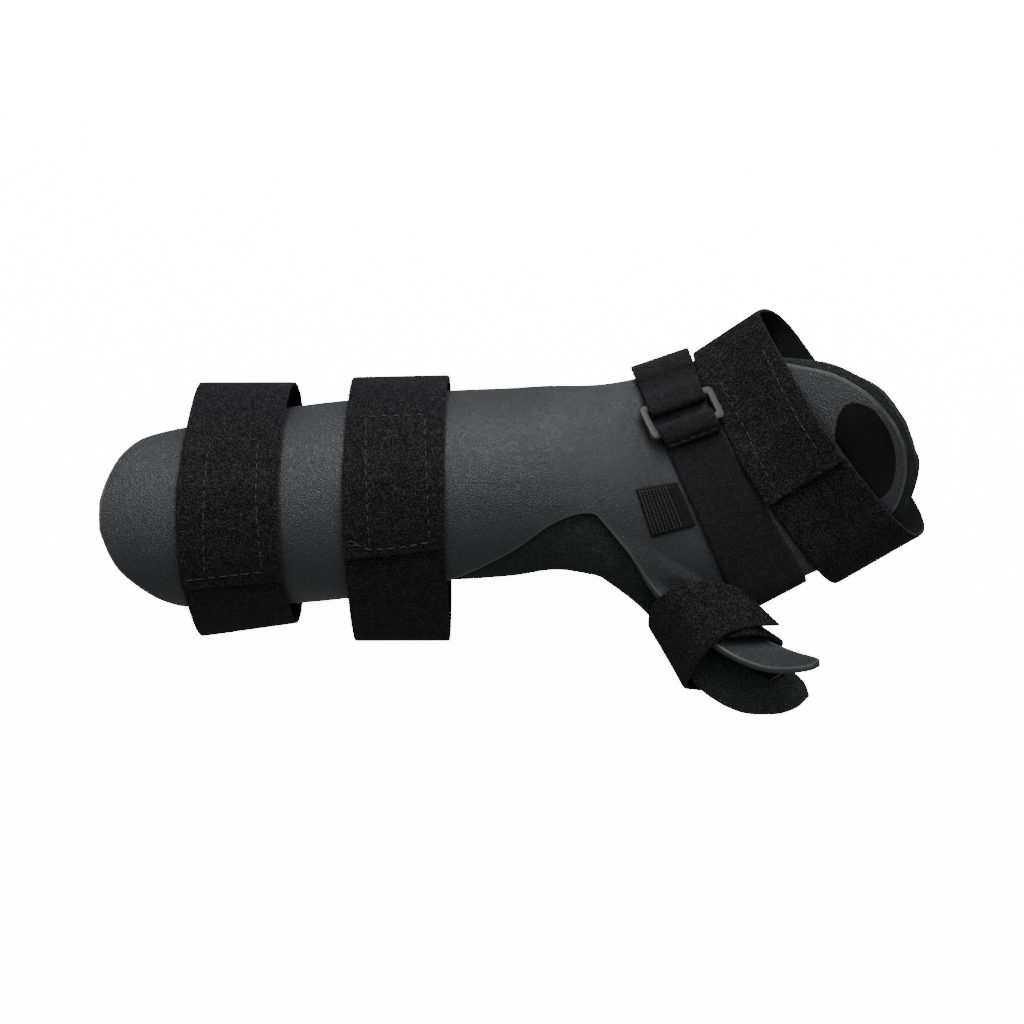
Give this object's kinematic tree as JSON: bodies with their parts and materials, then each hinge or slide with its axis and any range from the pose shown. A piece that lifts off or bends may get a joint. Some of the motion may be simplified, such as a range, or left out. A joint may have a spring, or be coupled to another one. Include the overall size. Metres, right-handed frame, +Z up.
{
  "type": "resting hand splint",
  "caption": "Right resting hand splint: a moulded shell from forearm to finger tips with a thumb tongue and foam liner, closed by soft straps round forearm, hand, fingers and thumb.",
  "frame": {"origin": "middle of the bounding box in plan, on the surface that the straps' backs lie on", "axes": "+X from the elbow end to the finger tips, +Y to the little-finger side, +Z up, out of the shell's palm side"},
  "size_m": [0.4203, 0.2108, 0.09],
  "materials": {
    "shell": "haircell grain, satin",
    "liner": "knit face on foam",
    "strap": "brushed loop pile",
    "ring": "moulded nylon",
    "hook": "woven hook tape",
    "label": "printed film"
  },
  "bodies": {
    "root": {"shell": "shell", "liner": "liner", "forearm_strap_proximal": "strap", "forearm_strap_distal": "strap", "hand_strap": "strap", "strap_ring": "ring", "finger_strap": "strap", "thumb_strap": "strap", "hook_patch": "hook", "size_label": "label"}
  },
  "joints": []
}
